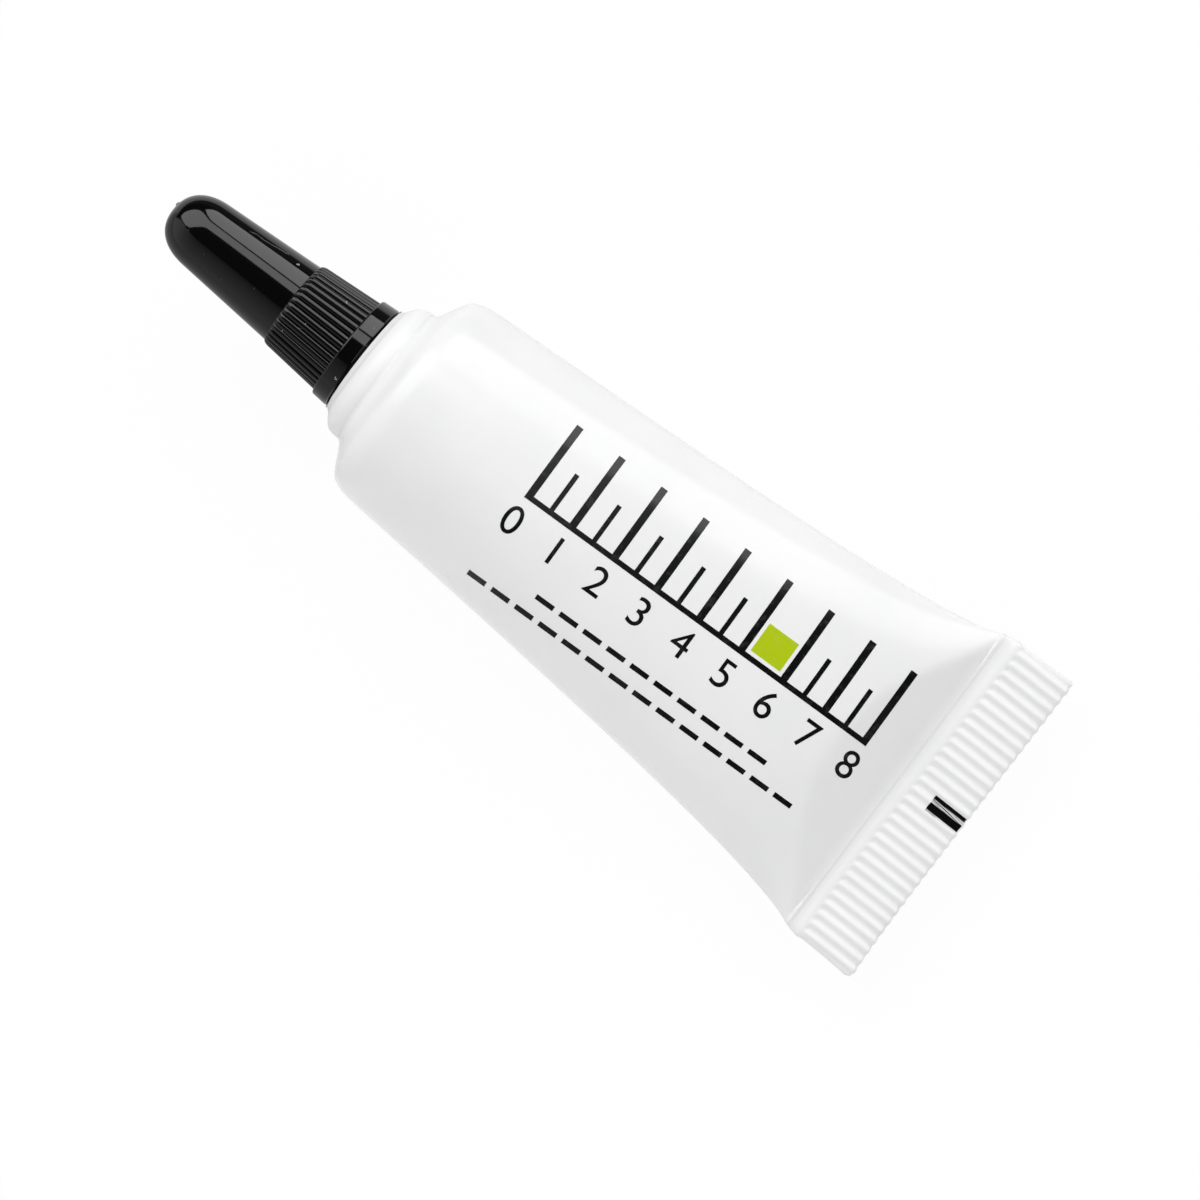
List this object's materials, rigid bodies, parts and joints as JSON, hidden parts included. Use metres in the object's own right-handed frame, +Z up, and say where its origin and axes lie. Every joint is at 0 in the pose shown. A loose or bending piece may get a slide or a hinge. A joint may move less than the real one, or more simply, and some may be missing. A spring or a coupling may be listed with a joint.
{
  "type": "tube of silicone grease",
  "caption": "White squeeze tube with a ridged crimp at its tail and a black screw cap with a long nose over its nozzle, lying on its side; dispenses grease.",
  "frame": {"origin": "on the table under the middle of the tube's bounding box", "axes": "+Z up, +X along the tube from the cap to the crimp, +Y across it"},
  "size_m": [0.081, 0.0298, 0.0189],
  "materials": {
    "sleeve_white": "glossy white polyethylene, faintly uneven",
    "head_white": "glossy white moulded polyethylene",
    "cap_black": "glossy black moulded plastic with fine scratches",
    "seal_natural": "soft natural polyethylene",
    "grease_clear": "translucent whitish grease"
  },
  "bodies": {
    "tube": {"tube_sleeve": "sleeve_white", "tube_head": "head_white", "grease": "grease_clear"},
    "seal": {"cap_seal": "seal_natural"},
    "cap": {"cap": "cap_black"}
  },
  "joints": [
    {"name": "cap_lift", "type": "slide", "parent": "tube", "child": "seal", "axis": [-0.996, 0, 0.0896], "range_m": [0, 0.016]},
    {"name": "cap_turn", "type": "hinge", "parent": "seal", "child": "cap", "pos_m": [-0.02071, 0, 0.00995], "axis": [-0.996, 0, 0.0896], "range_deg": [0, 2880]}
  ],
  "couplings": [
    {"joint": "cap_turn", "follows": "cap_lift", "rad_per_m": 3141.6}
  ]
}
